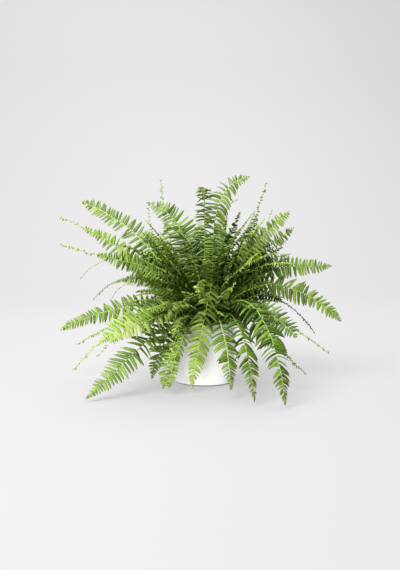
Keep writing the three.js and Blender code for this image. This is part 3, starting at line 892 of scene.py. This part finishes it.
# each CAD strip's piece: its own frond with the scales at its foot, and some shoots
def makeFronds():
    materials = {name: leafMaterial(name, tones) for name, tones in leafTones.items()}
    for i, node in enumerate(frondNames):
        random = np.random.default_rng(frondLook["firstSeed"] + i)
        drawn = {name: random.uniform(*ends) for name, ends in moodRanges.items()}
        looks = {**drawn, **plainMood, **frondMoods.get(node, {})}
        course = readCourse(node, looks["turn"], random)
        parts = [stalkScales(course, looks, random)]
        shoots = [shootCourse(random) for _ in range(random.integers(*shootLook["perFrond"]))]
        course["reach"], course["whip"] = leafReach(course, looks, random)
        parts += leafyStalk(course, looks, roomOf(node), random)
        for shoot in shoots:
            tone = looks["tone"] + random.uniform(*shootLook["tone"])
            parts += leafyStalk(shoot, {**looks, **shootLook["looks"], "tone": tone}, plantRoom, random)
        piece = makePiece(node + "_leaves", joined(parts), materials[slotOf[node]], leafAttributes)
        standFor(piece, node)


makeFronds()
print("fronds made:", len(frondNames))


potLook = {
    "seed": 7, "sides": 160,
    "wall": 5 * mm, "floor": 7 * mm,
    "footHeight": 1.6 * mm, "footRecess": 2.5 * mm, "seat": 0.4 * mm,
    "edge": 2.2 * mm, "lip": 2.5 * mm, "inner": 8 * mm,  # radii: lower edge, lip, inside corner
    "sway": 0.0016,                       # of its radius: a thrown wall is never quite true
    "glaze": (0.90, 0.90, 0.895), "warm": (0.86, 0.85, 0.82), "speck": (0.45, 0.38, 0.30),
    "thin": (0.30, 0.17, 0.11),           # the brown band just over the foot
    "clay": (0.36, 0.23, 0.15),
}


# White glaze with slightly warmer clouds and a few pinholes. It turns brown in a band just over the
# foot, which is bare clay.
def glazeMaterial():
    finish = Finish("glaze")
    foot = potLook["footHeight"]
    z = finish.coordinate(2)
    bare = 1 - z.step(foot * 0.85, foot * 1.12)
    thin = 1 - z.step(foot * 1.1, foot * 1.1 + 1.1 * mm)
    cloud = finish.noise(9)
    glaze = finish.mix(cloud.step(0.35, 0.75) * 0.45, potLook["glaze"], potLook["warm"])
    cells = {"Vector": finish.place, "Scale": 120}
    pinholes = finish.node("ShaderNodeTexVoronoi", {"feature": "F1"}, cells, "Distance")
    specks = (1 - pinholes.step(0.05, 0.09)) * finish.noise(60).step(0.60, 0.64)
    glaze = finish.mix(specks * 0.5, glaze, potLook["speck"])
    glaze = finish.mix(thin * 0.75, glaze, potLook["thin"])
    grit = finish.noise(900, 4.0)
    clay = finish.mix(grit, potLook["clay"], scaled(potLook["clay"], 0.6))
    height = finish.noise(34, 2.0) * 0.8 + bare * grit * 0.6 - specks * 0.3
    return finish.done(finish.principled({
        "Base Color": finish.mix(bare, glaze, clay),
        "Roughness": 0.24 + cloud * 0.10 + bare * 0.5,
        "Coat Weight": (1 - bare) * 0.5,
        "Coat Roughness": 0.08,
        "Normal": finish.bump(height, 0.4 * mm, 0.35),
    }))


# Glazed pot: an outline carried round the axis. It runs from the foot's middle, out and up the
# wall, over a round lip and down inside to the middle of the floor. The CAD pot's box gives the
# radius and the height.
def makePot():
    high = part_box("pot")[1]
    radius, height, clear = high.x, high.z, 1 * mm
    floor, foot, seat = potLook["floor"], potLook["footHeight"], potLook["seat"]
    edge, lip, inner = potLook["edge"], potLook["lip"], potLook["inner"]
    footRadius, inside = radius - potLook["footRecess"], radius - potLook["wall"]
    outline = np.concatenate([
        [[axisRadius, 0], [radius * 0.5, 0], [footRadius - seat, 0], [footRadius, seat], [footRadius, foot]],
        arc((radius - edge, foot + edge), edge, -88, 0),
        np.linspace([radius, foot + edge + clear], [radius, height - lip - clear], 12),
        arc((radius - lip, height - lip), lip, 0, 180, 14),
        np.linspace([inside, height - lip - clear], [inside, floor + inner + clear], 8),
        arc((inside - inner, floor + inner), inner, 0, -90),
        [[inside * 0.4, floor], [axisRadius, floor]],
    ])
    rings = turned(outline, potLook["sides"])
    random = np.random.default_rng(potLook["seed"])
    uneven = lumps(rings[0] * np.array([1, 1, 0.6]), 90 * mm, 2, random)
    sway = 1 + uneven[..., None] * np.array([1, 1, 0]) * potLook["sway"]
    standFor(makePiece("cover_pot", closedShells(rings * sway), glazeMaterial()), "pot")


growPotLook = {"dark": (0.022, 0.018, 0.016), "light": (0.050, 0.042, 0.036), "dust": (0.13, 0.085, 0.055)}


# Black plastic for the CAD's own grow pot: scuffed grey in places, dusty with dry mix, and with
# fine level ribs, one every 4.5 mm.
def finishGrowPot():
    finish = Finish("grow_plastic")
    scuffs = finish.noise(140, 5.0, 0.7)
    dust = finish.noise(30, 4.0).step(0.5, 0.72)
    ribs = (finish.coordinate(2) * 1400).wave()
    plastic = finish.mix(scuffs, growPotLook["dark"], growPotLook["light"])
    material = finish.done(finish.principled({
        "Base Color": finish.mix(dust * 0.5, plastic, growPotLook["dust"]),
        "Roughness": 0.42 + scuffs * 0.25 + dust * 0.2,
        "Normal": finish.bump(ribs * 0.3 + scuffs, 0.4 * mm, 0.5),
    }))
    mesh = cadNodes["grow_pot"].data
    mesh.materials.clear()
    mesh.materials.append(material)


makePot()
print("cover pot made")
finishGrowPot()
print("grow pot finished")


mixLook = {
    "seed": 21, "sides": 120, "rows": 46, "wallRows": 10,
    "rough": 2.2 * mm, "clods": 30 * mm, "grains": 6 * mm,  # height and widths of its lumps
    "crumbs": 520, "perlite": 0.16,                          # how many, and the share that is perlite
    "perliteSize": (0.9, 2.0), "barkSize": (0.8, 3.2),       # radii in millimetres
    "barkShape": ([0.8, 0.35, 0.25], [1.6, 0.8, 0.6]),       # from the flattest to the longest
    "dark": (0.018, 0.011, 0.007), "light": (0.115, 0.065, 0.035), "fibre": (0.20, 0.125, 0.07),
    "white": (0.66, 0.64, 0.58),
}


# Crumbs scattered as closed shells: rounded stones whose corners are pushed in and out at random,
# stretched and then spun. A stone starts as a ball of five latitudes with seven corners each.
def scattered(places, sizes, squash, tones, whites, random):
    latitude = np.radians([-62, -25, 5, 35, 66])
    angle = np.linspace(0, fullTurn, 7, endpoint=False)
    ball = np.stack([np.cos(latitude)[:, None] * np.cos(angle), np.cos(latitude)[:, None] * np.sin(angle),
                     np.sin(latitude)[:, None] + 0 * angle], -1)
    shaped = ball[None] * random.uniform(0.72, 1.15, (len(places), 5, 7, 1)) * squash[:, None, None]
    spin = np.linalg.qr(random.normal(size=(len(places), 3, 3)))[0]
    spin *= np.sign(np.linalg.det(spin))[:, None, None]
    rings = places[:, None, None] + sizes[:, None, None, None] * np.einsum("nij,nrsj->nrsi", spin, shaped)
    return shellsWith(rings, tones[:, None, None], whites[:, None, None], 0, 0)


# damp brown mix, flecked with lighter fibre; perlite crumbs are chalk white
def mixMaterial():
    finish = Finish("potting_mix")
    tone, white = finish.channels("crumb")[:2]
    fine = finish.noise(700, 5.0, 0.65)
    coarse = finish.noise(110, 4.0, 0.6)
    brown = finish.mix(coarse * 0.6 + tone * 0.5 - 0.1, mixLook["dark"], mixLook["light"])
    brown = finish.mix(fine.step(0.52, 0.70) * 0.6, brown, mixLook["fibre"])
    return finish.done(finish.principled({
        "Base Color": finish.mix(white, brown, mixLook["white"]),
        "Roughness": 0.80 + fine * 0.18,
        "Normal": finish.bump(fine + coarse, 1.2 * mm, 0.9),
    }))


# Potting mix: the CAD's plug with a rough top, its height raised and lowered by lumps, and bark
# and perlite crumbs lying on it.
def makePottingMix():
    random = np.random.default_rng(mixLook["seed"])
    places = cornersOf("potting_mix")
    low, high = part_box("potting_mix")
    radii = np.hypot(places[:, 0], places[:, 1])
    floorRadius, topRadius = radii[places[:, 2] < low.z + 0.1 * mm].max(), radii.max()
    rimHeight = places[radii > topRadius - 0.1 * mm, 2].max()
    wall = np.linspace([floorRadius, low.z], [topRadius, rimHeight], mixLook["wallRows"])
    share = np.linspace(0.985, 0.0, mixLook["rows"])
    dome = np.stack([topRadius * share, domeHeight(rimHeight, high.z, share)], -1)
    rings = turned(np.concatenate([[[axisRadius, low.z]], wall, dome]), mixLook["sides"])
    below = np.zeros(1 + len(wall))
    onTop = np.concatenate([below, np.minimum(1, (1 - share) * 12)])[None, :, None]
    rough = lumps(rings[..., :2], mixLook["clods"], 4, random)
    rough = rough + 0.6 * np.abs(lumps(rings[..., :2], mixLook["grains"], 2, random))
    rings[..., 2] += onTop * mixLook["rough"] * (rough - 0.35)
    plug = shellsWith(rings, 0.5, 0, 0, 0)

    # crumbs lie evenly over the dome, because their radius goes with the square root of a draw
    count = mixLook["crumbs"]
    radius = topRadius * 0.96 * np.sqrt(random.random(count))
    angle = random.uniform(0, fullTurn, count)
    height = domeHeight(rimHeight, high.z, radius / topRadius) + random.uniform(-1, 0.6, count) * mm
    spots = np.stack([radius * np.cos(angle), radius * np.sin(angle), height], -1)
    isPerlite = random.random(count) < mixLook["perlite"]
    sizes = np.where(isPerlite, random.uniform(*mixLook["perliteSize"], count),
                     random.uniform(*mixLook["barkSize"], count)) * mm
    squash = np.where(isPerlite[:, None], 1.0, random.uniform(*mixLook["barkShape"], (count, 3)))
    crumbs = scattered(spots, sizes, squash, random.random(count), isPerlite, random)
    piece = makePiece("soil", joined([plug, crumbs]), mixMaterial(), ("crumb",))
    standFor(piece, "potting_mix")


makePottingMix()
print("potting mix made")


crownLook = {
    "seed": 33, "sides": 96, "rows": 36,
    "knobs": 1.6 * mm, "knobWidth": 20 * mm,
    "croziers": 7, "where": (0.25, 0.8),  # how far out they stand, to the crown's radius
}
crozierLook = {
    "samples": 60, "sides": 8,
    "stem": 6.5 * mm, "stemShare": 0.3,   # the straight part: its height, and its share of the samples
    "curl": 2.6 * mm, "turns": 1.7,       # the spiral's first radius and its turns
    "shrink": 0.72,                       # the share of its radius that it loses
    "radii": (1.3 * mm, 1.1 * mm, 0.55 * mm),  # at the foot, where the curl starts, at the tip
    "share": (0.1, 0.5),                  # coloured as these parts of a frond
}


# a crozier: a straight stem, then a spiral whose radius shrinks evenly with the angle
def crozier(foot, outward, random):
    straight, curl = crozierLook["stemShare"], crozierLook["curl"]
    s = np.linspace(0, 1, crozierLook["samples"])
    coiled = np.maximum(0, s - straight) / (1 - straight)
    winding = coiled * crozierLook["turns"] * fullTurn
    radius = curl * (1 - crozierLook["shrink"] * coiled)
    sideways = curl - radius * np.cos(winding)
    upwards = np.minimum(s / straight, 1) * crozierLook["stem"] + radius * np.sin(winding)
    points = foot + outward * sideways[:, None] + up * upwards[:, None]
    thickness = np.interp(s, [0, straight, 1], crozierLook["radii"])
    axis = np.broadcast_to(np.cross(outward, up), points.shape)
    rings = tube(points, thickness, axis, crozierLook["sides"])
    share = np.interp(s, [0, 1], crozierLook["share"])
    return leafShells(rings, tone=random.random(), share=share[:, None], kind="stalk")


# Crown: the CAD's dome, knobbly with the stubs of old stalks, under a coat of brown scales that
# lie like shingles, out and up, with young croziers curled up between the stalks.
def makeCrown():
    random = np.random.default_rng(crownLook["seed"])
    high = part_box("crown")[1]
    radius = high.x
    places = cornersOf("crown")
    rimHeight = places[np.hypot(places[:, 0], places[:, 1]) > radius - 0.2 * mm, 2].mean()
    share = np.linspace(1.0, 0.0, crownLook["rows"])
    under = np.stack([radius * share[:0:-1], np.full(len(share) - 1, rimHeight - 0.1 * mm)], -1)
    outline = np.concatenate([under, np.stack([radius * share, domeHeight(rimHeight, high.z, share)], -1)])
    outline[[0, -1], 0] = axisRadius
    rings = turned(outline, crownLook["sides"])
    onTop = np.concatenate([np.zeros(len(under)), np.minimum(1, (1 - share) * 8)])[None, :, None]
    knobs = np.abs(lumps(rings[..., :2], crownLook["knobWidth"], 3, random))
    rings[..., 2] += onTop * crownLook["knobs"] * (knobs * 2 - 0.5)
    parts = [leafShells(rings, tone=0.1, kind="scale")]

    look = scaleLook["crown"]
    count = look["count"]
    far = radius * 0.97 * np.sqrt(random.random(count))
    angle = random.uniform(0, fullTurn, count)
    out = np.stack([np.cos(angle), np.sin(angle), 0 * angle], -1)
    foot = out * far[:, None] + up * domeHeight(rimHeight, high.z, far / radius)[:, None]
    heading = out * random.uniform(*look["out"], (count, 1)) + up * random.uniform(*look["up"], (count, 1))
    heading = unit(heading + random.normal(0, look["stray"], (count, 3)))
    across = unit(np.cross(heading, unit(random.normal(size=(count, 3)))))
    parts.append(slivers(look, foot, heading, across, out, random))

    for _ in range(crownLook["croziers"]):
        spin = random.uniform(0, fullTurn)
        outward = np.array([np.cos(spin), np.sin(spin), 0])
        away = random.uniform(*crownLook["where"])
        start = outward * radius * away + up * domeHeight(rimHeight, high.z, away)
        parts.append(crozier(start, outward, random))
    material = leafMaterial("crown_scales", leafTones["young_leaf"])
    standFor(makePiece("crown_and_croziers", joined(parts), material, leafAttributes), "crown")


makeCrown()
print("crown made")
